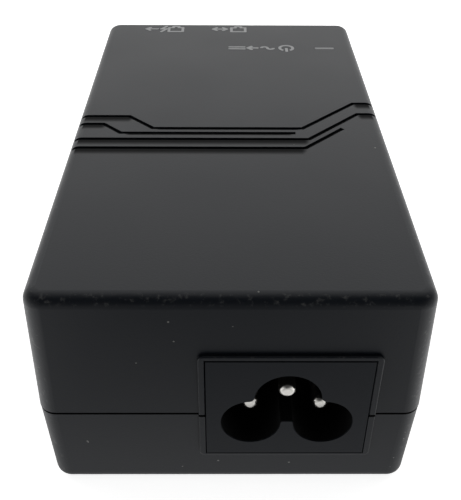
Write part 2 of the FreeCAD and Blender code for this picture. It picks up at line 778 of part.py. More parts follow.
def make_mains_parts():
    fuse = rod("fuse_can", "fuse_x", from_front("fuse_from_front"), BOARD_TOP, "fuse_radius", "fuse_height")
    doc.recompute()
    top = fuse.Shape.BoundBox.ZMax
    add_node(rounded("fuse", fuse, "can_edge", lambda edge: abs(edge.BoundBox.ZMin - top) < 0.01), "fuse")
    disc_z = f"{BOARD_TOP} + varistor_radius + disc_lift"
    disc_x = "varistor_x - varistor_thickness / 2"
    y = from_front("varistor_from_front")
    disc = rod("varistor_disc", disc_x, y, disc_z, "varistor_radius", "varistor_thickness", ALONG_X)
    leg_size = ("disc_leg_width", "disc_leg_width", "varistor_radius")
    legs = []
    for i, side in enumerate((-1, 1)):
        leg_y = f"{y} + {side} * disc_leg_spacing / 2"
        legs.append(block(f"varistor_leg_{i}", "varistor_x", leg_y, BOARD_TOP, *leg_size))
    add_node(fused("varistor", disc, *legs), "varistor")
    size = ("xcap_width", "xcap_depth", "xcap_height")
    add_node(on_board("x_capacitor", "xcap_x", "xcap_from_front", *size), "x_capacitor")
    size = ("bridge_width", "bridge_depth", "bridge_height")
    add_node(on_board("bridge_rectifier", "bridge_x", "bridge_from_front", *size), "bridge_rectifier")
    bulk = capacitor_can("bulk", "bulk_x", "bulk_from_front", "bulk_radius", "bulk_height")
    add_node(bulk, "bulk_capacitor")


def make_choke():
    x = "choke_x"
    y = from_front("choke_from_front")
    low = f"( {BOARD_TOP} + choke_lift )"
    outside = rod("choke_outside", x, y, low, "choke_radius", "choke_height")
    inside = rod("choke_inside", x, y, f"{low} - 1", "choke_hole_radius", "choke_height + 2")
    core = cut("choke_core", outside, inside)
    add_node(core, "choke_core")
    windings = []
    for side, start in enumerate((-60, 120)):
        wire_low = f"{low} - choke_wire"
        height = "choke_height + 2 * choke_wire"
        sector = rod(f"choke_sector_{side}", x, y, wire_low, "choke_radius + choke_wire", height)
        sector.setExpression("Angle", named("choke_winding_angle"))
        sector.Placement = FreeCAD.Placement(Vector(0, 0, 0), FreeCAD.Rotation(Vector(0, 0, 1), start))
        hole = rod(f"choke_bore_{side}", x, y, wire_low, "choke_hole_radius - choke_wire", height)
        outer = rod(f"choke_ring_{side}", x, y, low, "choke_radius", "choke_height")
        bore = rod(f"choke_core_bore_{side}", x, y, f"{low} - 1", "choke_hole_radius", "choke_height + 2")
        ring = cut(f"choke_core_copy_{side}", outer, bore)
        windings.append(cut(f"choke_winding_{side}", sector, hole, ring))
    add_node(grouped("choke_windings", *windings), "choke_windings")


def make_transformer():
    x = "core_x"
    y = from_front("core_from_front")
    low = f"( {BOARD_TOP} + core_lift )"
    leg_low = f"{low} + core_wall"
    leg_height = "( core_height - 2 * core_wall )"
    frame = block("core_frame", x, y, low, "core_width", "core_depth", "core_height")
    inner_width = "core_width - 2 * core_wall"
    window = block("core_window", x, y, leg_low, inner_width, "core_depth + 2", leg_height)
    leg = rod("core_leg", x, y, leg_low, "center_leg_radius", leg_height)
    add_node(fused("transformer_core", cut("core_ring", frame, window), leg), "transformer_core")
    bobbin = []
    for end, z in enumerate((leg_low, f"{leg_low} + {leg_height} - bobbin_flange")):
        bobbin.append(block(f"bobbin_flange_{end}", x, y, z, inner_width, "bobbin_depth", "bobbin_flange"))
    bobbin.append(rod("bobbin_tube", x, y, leg_low, "center_leg_radius + bobbin_wall", leg_height))
    leg_hole = rod("bobbin_bore", x, y, f"{leg_low} - 1", "center_leg_radius", f"{leg_height} + 2")
    add_node(cut("transformer_bobbin", fused("bobbin_solid", *bobbin), leg_hole), "transformer_bobbin")
    turns_low = f"{leg_low} + bobbin_flange"
    turns_height = f"( {leg_height} - 2 * bobbin_flange )"
    turns = rod("winding_solid", x, y, turns_low, "winding_radius", turns_height)
    bore_size = ("center_leg_radius + bobbin_wall", f"{turns_height} + 2")
    bore = rod("winding_bore", x, y, f"{turns_low} - 1", *bore_size)
    add_node(cut("transformer_winding", turns, bore), "transformer_winding")


def make_power_package(label, sink_label, y):
    # a flat package with a tab and three legs, screwed to an upright heat sink beside it
    at = from_front(y)
    sink_x = "( switch_x + package_thickness / 2 + sink_thickness / 2 )"
    body_z = f"{BOARD_TOP} + package_lift"
    tab_face = "( switch_x + package_thickness / 2 - tab_thickness )"
    body_size = ("package_thickness", "package_width", "moulding_height")
    tab_size = ("tab_thickness", "package_width", "package_height")
    pieces = [
        block(f"{label}_body", "switch_x", at, body_z, *body_size),
        block(f"{label}_tab", f"{tab_face} + tab_thickness / 2", at, body_z, *tab_size),
    ]
    lead_size = ("lead_thickness", "lead_width", "package_lift + 0.5")
    for lead in (-1, 0, 1):
        lead_y = f"{at} + {lead} * lead_pitch"
        pieces.append(block(f"{label}_lead_{lead + 1}", "switch_x", lead_y, BOARD_TOP, *lead_size))
    screw_z = f"{BOARD_TOP} + sink_screw_height"
    across = ("sink_screw_radius", "3 * package_thickness", ALONG_X)
    hole = rod(f"{label}_hole", "switch_x - package_thickness", at, screw_z, *across)
    add_node(cut(label, fused(f"{label}_solid", *pieces), hole), label)
    sink_size = ("sink_thickness", "sink_width", "sink_height")
    plate = block(f"{sink_label}_plate", sink_x, at, BOARD_TOP, *sink_size)
    hole = rod(f"{sink_label}_hole", "switch_x - package_thickness", at, screw_z, *across)
    add_node(cut(sink_label, plate, hole), sink_label)
    head = rod(
        f"{label}_screw_head", f"{tab_face} - sink_screw_head", at, screw_z,
        "sink_screw_head_radius", "sink_screw_head", ALONG_X,
    )
    shank_size = ("sink_screw_radius", "tab_thickness + sink_thickness", ALONG_X)
    shank = rod(f"{label}_screw_shank", tab_face, at, screw_z, *shank_size)
    return fused(f"{label}_screw", head, shank)


def make_small_parts():
    y = from_front("ycap_from_front")
    disc_y = f"{y} - ycap_thickness / 2"
    disc_z = f"{BOARD_TOP} + ycap_radius + disc_lift"
    disc = rod("ycap_disc", "ycap_x", disc_y, disc_z, "ycap_radius", "ycap_thickness", ALONG_Y)
    leg_size = ("disc_leg_width", "disc_leg_width", "ycap_radius")
    legs = [
        block(f"ycap_leg_{i}", f"ycap_x + {side} * disc_leg_spacing / 2", y, BOARD_TOP, *leg_size)
        for i, side in enumerate((-1, 1))
    ]
    add_node(fused("y_capacitor", disc, *legs), "y_capacitor")
    size = ("opto_width", "opto_depth", "opto_height")
    add_node(on_board("optocoupler", "opto_x", "opto_from_front", *size), "optocoupler")
    size = ("chip_width", "chip_depth", "chip_height")
    add_node(on_board("controller_chip", "chip_x", "chip_from_front", *size), "controller_chip")
    cans = [
        capacitor_can(f"output_{which}", f"{which}_cap_x", f"{which}_cap_from_front", "output_cap_radius",
                      "output_cap_height")
        for which in ("first", "second")
    ]
    add_node(grouped("output_capacitors", *cans), "output_capacitors")
    y = from_front("coil_from_front")
    drum = [rod("coil_drum", "coil_x", y, BOARD_TOP, "coil_radius - 0.6", "coil_height")]
    for end, z in enumerate((BOARD_TOP, f"{BOARD_TOP} + coil_height - coil_flange")):
        drum.append(rod(f"coil_flange_{end}", "coil_x", y, z, "coil_radius", "coil_flange"))
    add_node(fused("output_inductor", *drum), "output_inductor")
    size = ("magnetics_width", "magnetics_depth", "magnetics_height")
    add_node(on_board("lan_magnetics", "magnetics_x", "magnetics_from_front", *size), "lan_magnetics")
    chips = []
    for i in range(int(number("resistor_count"))):
        x = f"resistor_x + {i} * resistor_pitch"
        size = ("resistor_width", "resistor_depth", "resistor_height")
        chips.append(on_board(f"resistor_{i}", x, "resistor_from_front", *size))
    add_node(grouped("surface_resistors", *chips), "surface_resistors")


# ---------------------------------------------------------------- fasteners, feet and label

dims(
    case_screw_length=12.0,   # from the head's seat
    recess_size=1.9,
    recess_slot=0.7,
    recess_depth_screw=0.9,
    foot_height=1.5,
    foot_edge=0.35,
    label_width=34.0,
    label_length=27.0,
    label_thickness=0.12,
)


def make_case_screws():
    screws = []
    for i, (x, y) in enumerate(SCREWS):
        low = "( foot_proud + screw_head_low )"
        head = rod(f"screw_head_{i}", x, y, low, "screw_head_radius", "screw_head_height")
        seat = f"{low} + screw_head_height"
        shank = rod(f"screw_shank_{i}", x, y, seat, "screw_radius", "case_screw_length")
        slots = [
            block(f"screw_slot_{i}_{width}", x, y, f"{low} - 0.1", width, depth, "recess_depth_screw")
            for width, depth in (("recess_size", "recess_slot"), ("recess_slot", "recess_size"))
        ]
        screws.append(cut(f"case_screw_{i}", fused(f"screw_solid_{i}", head, shank), *slots))
    add_node(grouped("case_screws", *screws), "case_screws")


def make_feet():
    feet = []
    for i, (x, y) in enumerate(SCREWS):
        disc = rod(f"foot_disc_{i}", x, y, "0", "foot_radius", "foot_height")
        feet.append(rounded(f"foot_{i}", disc, "foot_edge", lambda edge: edge.BoundBox.ZMax < 0.01))
    add_node(grouped("rubber_feet", *feet), "rubber_feet")


def make_label():
    size = ("label_width", "label_length", "label_thickness")
    low = "foot_proud - label_thickness"
    add_node(block("rating_label", "0", "0", low, *size), "rating_label")


# ---------------------------------------------------------------- write the parts

def check_and_write():
    doc.recompute()
    for thing in doc.Objects:
        if "Invalid" in thing.State or "Error" in thing.State:
            raise RuntimeError(f"{thing.Name} failed: {thing.State}")
    os.makedirs("parts", exist_ok=True)
    for thing in node_objects:
        shape = thing.Shape
        if shape.isNull() or not shape.isValid() or not shape.Solids:
            raise RuntimeError(f"{thing.Label} has no valid solid")
        shape.exportStep(f"parts/{thing.Label}.step")
        box = shape.BoundBox
        print(f"{thing.Label:20s} {len(shape.Solids):2d} solids {shape.Volume:9.1f} mm3  "
              f"x {box.XMin:7.2f} {box.XMax:7.2f}  y {box.YMin:7.2f} {box.YMax:7.2f}  "
              f"z {box.ZMin:6.2f} {box.ZMax:6.2f}")


make_top_cover()
make_bottom_cover()
make_inlet_housing()
make_inlet_pins()
make_board()
make_port_housing()
make_port_shield()
make_contacts()
make_light()
make_mains_parts()
make_choke()
make_transformer()
sink_screws = [
    make_power_package("switch_transistor", "primary_heatsink", "switch_from_front"),
    make_power_package("output_diode", "secondary_heatsink", "diode_from_front"),
]
add_node(grouped("heatsink_screws", *sink_screws), "heatsink_screws")
make_small_parts()
make_case_screws()
make_feet()
make_label()
check_and_write()
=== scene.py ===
import bpy
import math
from mathutils import Matrix, Vector


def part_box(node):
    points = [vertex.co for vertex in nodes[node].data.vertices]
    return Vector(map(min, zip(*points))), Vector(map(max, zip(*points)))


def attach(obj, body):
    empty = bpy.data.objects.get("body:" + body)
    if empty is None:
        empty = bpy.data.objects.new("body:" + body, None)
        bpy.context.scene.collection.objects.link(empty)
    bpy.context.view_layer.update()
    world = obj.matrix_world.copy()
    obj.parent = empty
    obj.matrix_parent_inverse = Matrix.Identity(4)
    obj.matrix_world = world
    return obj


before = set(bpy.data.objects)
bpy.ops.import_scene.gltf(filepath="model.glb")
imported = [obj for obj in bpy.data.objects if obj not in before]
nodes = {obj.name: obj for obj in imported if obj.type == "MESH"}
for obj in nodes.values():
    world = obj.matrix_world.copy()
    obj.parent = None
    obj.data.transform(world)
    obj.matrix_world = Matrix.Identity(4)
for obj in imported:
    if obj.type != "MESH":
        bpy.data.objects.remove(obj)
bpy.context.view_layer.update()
mm = 0.001
print("frame loaded")


def nodeBox(name):
    low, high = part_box(name)
    return Vector(low), Vector(high)


def middleOf(name):
    low, high = nodeBox(name)
    return [(first + last) / 2 for first, last in zip(low, high)]


# where things are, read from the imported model
lipAboveJoint = 1.4 * mm     # the bottom shell's lip stands up inside the top one
topZ = nodeBox("top_cover")[1].z
bottomHigh = nodeBox("bottom_cover")[1]
jointZ = bottomHigh.z - lipAboveJoint
frontY = nodeBox("inlet_housing")[0].y


# building blocks for the finishes

def startFinish(name, roughness, metallic=0.0, specular=0.5):
    finish = bpy.data.materials.new(name)
    finish.use_nodes = True
    tree = finish.node_tree
    shader = tree.nodes["Principled BSDF"]
    shader.inputs["Roughness"].default_value = roughness
    shader.inputs["Metallic"].default_value = metallic
    shader.inputs["Specular IOR Level"].default_value = specular
    return finish, tree, shader


def addNode(tree, kind, **settings):
    node = tree.nodes.new(kind)
    for key, value in settings.items():
        if key in node.inputs:
            node.inputs[key].default_value = value
        else:
            setattr(node, key, value)
    return node


def plug(tree, socket, value):
    # a link from another node, or a plain number
    if isinstance(value, bpy.types.NodeSocket):
        tree.links.new(value, socket)
    else:
        socket.default_value = value


def worked(tree, operation, *values):
    node = addNode(tree, "ShaderNodeMath", operation=operation)
    for socket, value in zip(node.inputs, values):
        plug(tree, socket, value)
    return node.outputs[0]


def below(tree, value, limit):
    return worked(tree, "LESS_THAN", value, limit)


def above(tree, value, limit):
    return worked(tree, "GREATER_THAN", value, limit)


def both(tree, first, second):
    return worked(tree, "MULTIPLY", first, second)


def greatest(tree, *values):
    most = values[0]
    for value in values[1:]:
        most = worked(tree, "MAXIMUM", most, value)
    return most


def sizeOf(tree, value):
    return worked(tree, "ABSOLUTE", value)


def between(tree, value, low, high, fromLow=0.0, fromHigh=1.0):
    spread = addNode(tree, "ShaderNodeMapRange")
    for key, number in (("From Min", fromLow), ("From Max", fromHigh), ("To Min", low), ("To Max", high)):
        spread.inputs[key].default_value = number
    tree.links.new(value, spread.inputs["Value"])
    return spread.outputs["Result"]


def blendColours(tree, amount, first, second):
    mix = addNode(tree, "ShaderNodeMix", data_type="RGBA")
    amountSocket, colourA, colourB = mix.inputs[0], mix.inputs[6], mix.inputs[7]
    for socket, colour in ((colourA, first), (colourB, second)):
        plug(tree, socket, colour if isinstance(colour, bpy.types.NodeSocket) else (*colour, 1.0))
    tree.links.new(amount, amountSocket)
    return mix.outputs[2]


def objectPlace(tree):
    return addNode(tree, "ShaderNodeTexCoord").outputs["Object"]


def placeAndNormal(tree, place):
    spot = addNode(tree, "ShaderNodeSeparateXYZ")
    tree.links.new(place, spot.inputs["Vector"])
    turn = addNode(tree, "ShaderNodeSeparateXYZ")
    tree.links.new(addNode(tree, "ShaderNodeNewGeometry").outputs["Normal"], turn.inputs["Vector"])
    return spot, turn


def grain(tree, place, perMetre, detail=2.0, rough=0.5):
    noise = addNode(tree, "ShaderNodeTexNoise", Scale=perMetre, Detail=detail, Roughness=rough)
    tree.links.new(place, noise.inputs["Vector"])
    return noise.outputs["Fac"]


def giveRelief(tree, shader, height, distance):
    bump = addNode(tree, "ShaderNodeBump", Distance=distance, Strength=1.0)
    tree.links.new(height, bump.inputs["Height"])
    tree.links.new(bump.outputs["Normal"], shader.inputs["Normal"])


def dress(finish, *names):
    for name in names:
        nodes[name].material_slots[0].material = finish


# the case: spark-eroded black plastic with a fine even grain, faint cloudiness, scuffed edges,
# specks of dust, and painted shade in its grooves, joint and recess

shellLook = {
    "dark": (0.0050, 0.0072, 0.0110),
    "light": (0.0076, 0.0100, 0.0142),
    "cloud": (60, 3.0),             # patches per metre, and how many finer layers they have
    "roughLow": 0.36,
    "roughHigh": 0.44,
    "specular": 0.27,
    "grain": (3200, 2.0, 0.6),      # bumps per metre, finer layers, and how strong those are
    "grainHeight": 0.012 * mm,
    "scuff": (0.060, 0.061, 0.062),
    "scuffGrain": (1250, 4.0, 0.65),
    "scuffFrom": (0.55, 0.72),      # how much of that grain counts as scuffed, and how softly
    "edgeFrom": (0.90, 0.985),      # how squarely a face may look along an axis and still be an edge
    "dust": (0.16, 0.16, 0.155),
    "dustPerMetre": 380,
    "dustSize": 0.058,
    "dustShare": (0.5, 0.03),       # near the inlet's end, and elsewhere
    "dustReach": (2 * mm, 6 * mm),  # where one gives way to the other
    # painted shade: the colour of the groove floors, the joint and the recess
    "sunk": (0.0048, 0.0050, 0.0052),
}
inletLook = dict(shellLook, roughLow=0.40, roughHigh=0.46, dustShare=(0.0, 0.0), specular=0.17)


def roundedEdge(tree, turn, look):
    # the parts that face along none of the three axes: the rounded edges and corners
    straight = greatest(tree, *(sizeOf(tree, turn.outputs[axis]) for axis in "XYZ"))
    return between(tree, straight, 1.0, 0.0, *look["edgeFrom"])


def dustSpecks(tree, place, spot, look):
    cells = addNode(tree, "ShaderNodeTexVoronoi", Scale=look["dustPerMetre"], Randomness=1.0)
    tree.links.new(place, cells.inputs["Vector"])
    picked = addNode(tree, "ShaderNodeSeparateColor")
    tree.links.new(cells.outputs["Color"], picked.inputs["Color"])
    nearReach, farReach = look["dustReach"]
    share = between(tree, spot.outputs["Y"], *look["dustShare"], frontY + nearReach, frontY + farReach)
    return both(tree, below(tree, cells.outputs["Distance"], look["dustSize"]),
                below(tree, picked.outputs["Red"], share))


def shellFinish(name, look, paintedShade):
    finish, tree, shader = startFinish(name, look["roughHigh"], specular=look["specular"])
    place = objectPlace(tree)
    spot, turn = placeAndNormal(tree, place)
    cloud = grain(tree, place, *look["cloud"])
    colour = blendColours(tree, cloud, look["dark"], look["light"])
    scuffs = between(tree, grain(tree, place, *look["scuffGrain"]), 0.0, 1.0, *look["scuffFrom"])
    colour = blendColours(tree, both(tree, roundedEdge(tree, turn, look), scuffs), colour, look["scuff"])
    colour = blendColours(tree, dustSpecks(tree, place, spot, look), colour, look["dust"])
    rough = between(tree, cloud, look["roughLow"], look["roughHigh"])
    # painted shade: the floors of the grooves, the bands before their lips, the joint and the recess are
    # painted black for shade, and made dull
    dark = paintedShade(tree, spot, turn)
    tree.links.new(blendColours(tree, dark, colour, look["sunk"]), shader.inputs["Base Color"])
    tree.links.new(greatest(tree, dark, rough), shader.inputs["Roughness"])
    giveRelief(tree, shader, grain(tree, place, *look["grain"]), look["grainHeight"])
    return finish


# painted shade: in front of the level grooves' lips a darker, duller band is painted, standing in
# for the shade of a sloped lip. Each band: from x to x, the lip's distance from the front, and the band's
# width
lipShadeLook = {
    "bands": ((-27, -16.2, 49.5, 2.7), (21.6, 27, 54.7, 2.7), (-27, -20.5, 46.6, 2.2), (-18, 11.1, 43.4, 0.7),
              (-27, 13.6, 41.3, 2.5), (21.8, 27, 50.5, 2.6), (-27, 12.9, 38.3, 2.7), (-13, 12.4, 45.1, 0.4)),
    "fade": 1.2 * mm,
    "pastEnd": 0.3 * mm,
    "pastLip": 0.1 * mm,
    "strength": 1.25,
}
# where shade is painted: on the groove floors, the joint ledge and the inside of the recess
sunkLook = {
    "level": 0.95,                      # a face this nearly level counts as a floor
    "groove": (0.3 * mm, 1.0 * mm),     # how far below the top a groove's floor may lie
    "joint": 0.3 * mm,
    "recess": 0.25 * mm,
}


# painted shade: a band that darkens towards the groove's lip
def paintedLipShade(tree, spot, band, look):
    fromX, toX, lipY, width = (value * mm for value in band)
    x, y = spot.outputs["X"], spot.outputs["Y"]
    lipY += frontY
    ramp = worked(tree, "MINIMUM", between(tree, y, 0.0, look["strength"], lipY - width, lipY), 1.0)
    shade = both(tree, ramp, below(tree, y, lipY + look["pastLip"]))
    ends = both(tree, between(tree, x, 0.0, 1.0, fromX, fromX + look["fade"]),
                between(tree, x, 1.0, 0.0, toX - look["fade"], toX + look["pastEnd"]))
    return both(tree, shade, ends)


# painted shade on the groove floors and in front of the level grooves' lips
def grooveShade(tree, spot, turn):
    level = above(tree, turn.outputs["Z"], sunkLook["level"])
    least, most = sunkLook["groove"]
    height = spot.outputs["Z"]
    floor = both(tree, below(tree, height, topZ - least), above(tree, height, topZ - most))
    lipShades = [paintedLipShade(tree, spot, band, lipShadeLook) for band in lipShadeLook["bands"]]
    return both(tree, level, greatest(tree, floor, *lipShades))


# painted shade on the level ledge at the joint
def jointShade(tree, spot, turn):
    return both(tree, above(tree, turn.outputs["Z"], sunkLook["level"]),
                above(tree, spot.outputs["Z"], jointZ - sunkLook["joint"]))


# painted shade inside the inlet's recess
def recessShade(tree, spot, turn):
    return above(tree, spot.outputs["Y"], frontY + sunkLook["recess"])


dress(shellFinish("caseTop", shellLook, grooveShade), "top_cover")
dress(shellFinish("caseBottom", shellLook, jointShade), "bottom_cover")
dress(shellFinish("inletBlack", inletLook, recessShade), "inlet_housing")
print("case finished")


# the other finishes

mottleLook = {"detail": 3.0, "roughFrom": 0.85, "roughTo": 1.15}
bandLook = {"distortion": 0.4, "detail": 1.0, "roughPerMetre": 900, "roughFrom": 0.8, "roughTo": 1.2}


def mottledFinish(name, colours, roughness, perMetre, height, metallic=0.0):
    # two close colours in a fine mottle, with roughness and relief from the same grain
    finish, tree, shader = startFinish(name, roughness, metallic)
    fine = grain(tree, objectPlace(tree), perMetre, mottleLook["detail"])
    tree.links.new(blendColours(tree, fine, *colours), shader.inputs["Base Color"])
    rough = between(tree, fine, roughness * mottleLook["roughFrom"], roughness * mottleLook["roughTo"])
    tree.links.new(rough, shader.inputs["Roughness"])
    giveRelief(tree, shader, fine, height)
    return finish


def bandedFinish(name, colours, roughness, perMetre, height, along, metallic=0.0):
    # fine parallel bands: turns of wire, wraps of tape, or the marks of rolling
    finish, tree, shader = startFinish(name, roughness, metallic)
    place = objectPlace(tree)
    bands = addNode(tree, "ShaderNodeTexWave", wave_type="BANDS", bands_direction=along, Scale=perMetre,
                    Distortion=bandLook["distortion"], Detail=bandLook["detail"])
    tree.links.new(place, bands.inputs["Vector"])
    tree.links.new(blendColours(tree, bands.outputs["Fac"], *colours), shader.inputs["Base Color"])
    rough = between(tree, grain(tree, place, bandLook["roughPerMetre"]),
                    roughness * bandLook["roughFrom"], roughness * bandLook["roughTo"])
    tree.links.new(rough, shader.inputs["Roughness"])
    giveRelief(tree, shader, bands.outputs["Fac"], height)
    return finish


def boardFinish(name, look):
    # green mask over a maze of tracks, with bare tinned pads here and there
    finish, tree, shader = startFinish(name, look["roughness"][1])
    place = objectPlace(tree)
    maze = addNode(tree, "ShaderNodeTexVoronoi", Scale=look["mazePerMetre"], Randomness=look["unevenness"],
                   distance="MANHATTAN", feature="F1")
    tree.links.new(place, maze.inputs["Vector"])
    lines = between(tree, maze.outputs["Distance"], 0.0, 1.0, *look["trackFrom"])
    colour = blendColours(tree, lines, look["mask"], look["track"])
    colour = blendColours(tree, below(tree, maze.outputs["Distance"], look["padSize"]), colour, look["pad"])
    tree.links.new(colour, shader.inputs["Base Color"])
    rough = between(tree, grain(tree, place, look["roughPerMetre"]), *look["roughness"])
    tree.links.new(rough, shader.inputs["Roughness"])
    giveRelief(tree, shader, lines, look["trackHeight"])
    return finish


def sleeveFinish(name, look, can):
    # a printed sleeve with a pale stripe down one side, and a bare lid
    finish, tree, shader = startFinish(name, look["roughness"][1])
    place = objectPlace(tree)
    spot, turn = placeAndNormal(tree, place)
    stripe = below(tree, turn.outputs["X"], -look["facing"])
    colour = blendColours(tree, stripe, look["body"], look["stripe"])
    lidZ = nodeBox(can)[1].z - look["lidBelowTop"]
    lid = both(tree, above(tree, turn.outputs["Z"], look["facing"]), above(tree, spot.outputs["Z"], lidZ))
    tree.links.new(blendColours(tree, lid, colour, look["lid"]), shader.inputs["Base Color"])
    rough = between(tree, grain(tree, place, look["roughPerMetre"]), *look["roughness"])
    tree.links.new(rough, shader.inputs["Roughness"])
    giveRelief(tree, shader, grain(tree, place, look["unevenPerMetre"]), look["unevenHeight"])
    return finish


def dressAll(looks):
    for name, look in looks.items():
        values = dict(look)
        wearers = values.pop("on")
        make = bandedFinish if "along" in values else mottledFinish
        dress(make(name, **values), *wearers)


outsideLooks = {
    "nickelPin": {"on": ("inlet_line_pin", "inlet_neutral_pin", "inlet_earth_pin"), "metallic": 1.0,
                  "colours": ((0.84, 0.82, 0.78), (0.92, 0.90, 0.86)),
                  "roughness": 0.24, "perMetre": 900, "height": 0.001 * mm},
    "portBlack": {"on": ("port_housing", "contact_carriers"),
                  "colours": ((0.010, 0.010, 0.010), (0.016, 0.016, 0.016)),
                  "roughness": 0.45, "perMetre": 1800, "height": 0.006 * mm},
    "tinnedSteel": {"on": ("port_shield",), "metallic": 1.0, "along": "X",
                    "colours": ((0.50, 0.50, 0.48), (0.58, 0.58, 0.56)),
                    "roughness": 0.3, "perMetre": 600, "height": 0.001 * mm},
    "goldContact": {"on": ("lan_contacts", "poe_contacts"), "metallic": 0.6,
                    "colours": ((0.90, 0.62, 0.20), (0.96, 0.72, 0.30)),
                    "roughness": 0.3, "perMetre": 900, "height": 0.001 * mm},
    "lightWindow": {"on": ("light_pipe",),
                    "colours": ((0.15, 0.155, 0.16), (0.19, 0.195, 0.20)),
                    "roughness": 0.35, "perMetre": 900, "height": 0.001 * mm},
    "footRubber": {"on": ("rubber_feet",),
                   "colours": ((0.02, 0.02, 0.02), (0.03, 0.03, 0.03)),
                   "roughness": 0.8, "perMetre": 1500, "height": 0.02 * mm},
    "labelFilm": {"on": ("rating_label",),
                  "colours": ((0.42, 0.43, 0.44), (0.46, 0.47, 0.48)),
                  "roughness": 0.35, "perMetre": 600, "height": 0.001 * mm},
}
dressAll(outsideLooks)
print("pins, jacks, window, feet and label finished")

boardLook = {
    "mask": (0.010, 0.085, 0.035),
    "track": (0.020, 0.140, 0.060),
    "pad": (0.62, 0.60, 0.55),
    "mazePerMetre": 260,
    "unevenness": 0.35,
    "trackFrom": (0.38, 0.42),
    "trackHeight": 0.03 * mm,
    "padSize": 0.12,
    "roughness": (0.28, 0.42),
    "roughPerMetre": 500,
}
sleeveLook = {
    "lid": (0.62, 0.62, 0.63),
    "lidBelowTop": 0.2 * mm,
    "facing": 0.9,                  # how squarely a face looks sideways to bear the stripe, or up for the lid
    "roughness": (0.2, 0.32),
    "roughPerMetre": 400,
    "unevenPerMetre": 700,
    "unevenHeight": 0.01 * mm,
}
bulkLook = dict(sleeveLook, body=(0.010, 0.011, 0.030), stripe=(0.55, 0.56, 0.58))
outputLook = dict(sleeveLook, body=(0.012, 0.030, 0.020), stripe=(0.50, 0.45, 0.20))
dress(boardFinish("boardMask", boardLook), "circuit_board")
dress(sleeveFinish("bulkSleeve", bulkLook, "bulk_capacitor"), "bulk_capacitor")
dress(sleeveFinish("outputSleeve", outputLook, "output_capacitors"), "output_capacitors")

insideLooks = {
    "insulationFilm": {"on": ("insulation_sheet",),
                       "colours": ((0.62, 0.56, 0.40), (0.70, 0.64, 0.48)),
                       "roughness": 0.4, "perMetre": 500, "height": 0.004 * mm},
    "ledLens": {"on": ("power_led",),
                "colours": ((0.80, 0.78, 0.60), (0.88, 0.86, 0.68)),
                "roughness": 0.2, "perMetre": 900, "height": 0.001 * mm},
    "fuseBrown": {"on": ("fuse",),
                  "colours": ((0.06, 0.018, 0.010), (0.08, 0.024, 0.014)),
                  "roughness": 0.35, "perMetre": 800, "height": 0.004 * mm},
    "varistorBlue": {"on": ("varistor",),
                     "colours": ((0.010, 0.050, 0.22), (0.016, 0.070, 0.28)),
                     "roughness": 0.25, "perMetre": 700, "height": 0.02 * mm},
    "capacitorYellow": {"on": ("x_capacitor",),
                        "colours": ((0.55, 0.34, 0.03), (0.62, 0.40, 0.05)),
                        "roughness": 0.4, "perMetre": 900, "height": 0.006 * mm},
    "discBlue": {"on": ("y_capacitor",),
                 "colours": ((0.03, 0.12, 0.34), (0.04, 0.16, 0.42)),
                 "roughness": 0.3, "perMetre": 700, "height": 0.02 * mm},
    "epoxyBlack": {"on": ("bridge_rectifier", "optocoupler", "controller_chip", "lan_magnetics",
                          "switch_transistor", "output_diode"),
                   "colours": ((0.012, 0.012, 0.013), (0.022, 0.022, 0.024)),
                   "roughness": 0.5, "perMetre": 2600, "height": 0.008 * mm},
    "resistorBlack": {"on": ("surface_resistors",),
                      "colours": ((0.02, 0.02, 0.02), (0.04, 0.04, 0.04)),
                      "roughness": 0.3, "perMetre": 1200, "height": 0.003 * mm},
    "ferriteGrey": {"on": ("transformer_core", "output_inductor"),
                    "colours": ((0.030, 0.030, 0.032), (0.055, 0.055, 0.058)),
                    "roughness": 0.6, "perMetre": 2000, "height": 0.02 * mm},
    "chokeGreen": {"on": ("choke_core",),
                   "colours": ((0.015, 0.10, 0.05), (0.02, 0.13, 0.07)),
                   "roughness": 0.4, "perMetre": 1200, "height": 0.01 * mm},
    "copperTurns": {"on": ("choke_windings",), "metallic": 0.8, "along": "DIAGONAL",
                    "colours": ((0.32, 0.10, 0.03), (0.62, 0.26, 0.09)),
                    "roughness": 0.25, "perMetre": 330, "height": 0.25 * mm},
    "windingTape": {"on": ("transformer_winding",), "along": "Z",
                    "colours": ((0.52, 0.36, 0.04), (0.60, 0.43, 0.06)),
                    "roughness": 0.35, "perMetre": 300, "height": 0.03 * mm},
    "bobbinBlack": {"on": ("transformer_bobbin",),
                    "colours": ((0.020, 0.018, 0.016), (0.032, 0.029, 0.026)),
                    "roughness": 0.5, "perMetre": 1500, "height": 0.006 * mm},
    "sinkAluminium": {"on": ("primary_heatsink", "secondary_heatsink"), "metallic": 1.0, "along": "Z",
                      "colours": ((0.62, 0.62, 0.63), (0.70, 0.70, 0.71)),
                      "roughness": 0.35, "perMetre": 900, "height": 0.002 * mm},
    "zincScrew": {"on": ("case_screws", "heatsink_screws"), "metallic": 1.0,
                  "colours": ((0.46, 0.46, 0.45), (0.56, 0.56, 0.54)),
                  "roughness": 0.35, "perMetre": 900, "height": 0.004 * mm},
}
dressAll(insideLooks)
print("inside finished")


# the printed marks on the top: thin ink strokes with rounded ends

inkLook = {
    "colours": ((0.36, 0.365, 0.37), (0.50, 0.505, 0.51)),
    "roughness": 0.6,
    "perMetre": 1400,
    "height": 0.002 * mm,
}
strokeLook = {"thick": 0.02 * mm, "wide": 0.58 * mm, "thicker": 0.06, "rounding": 0.42, "roundSteps": 4,
              "arcSteps": 24, "weld": 1e-7}
inkFinish = mottledFinish("paleInk", **inkLook)
inkHeight = topZ + strokeLook["thick"] / 2


def selectNothing():
    bpy.ops.object.select_all(action="DESELECT")


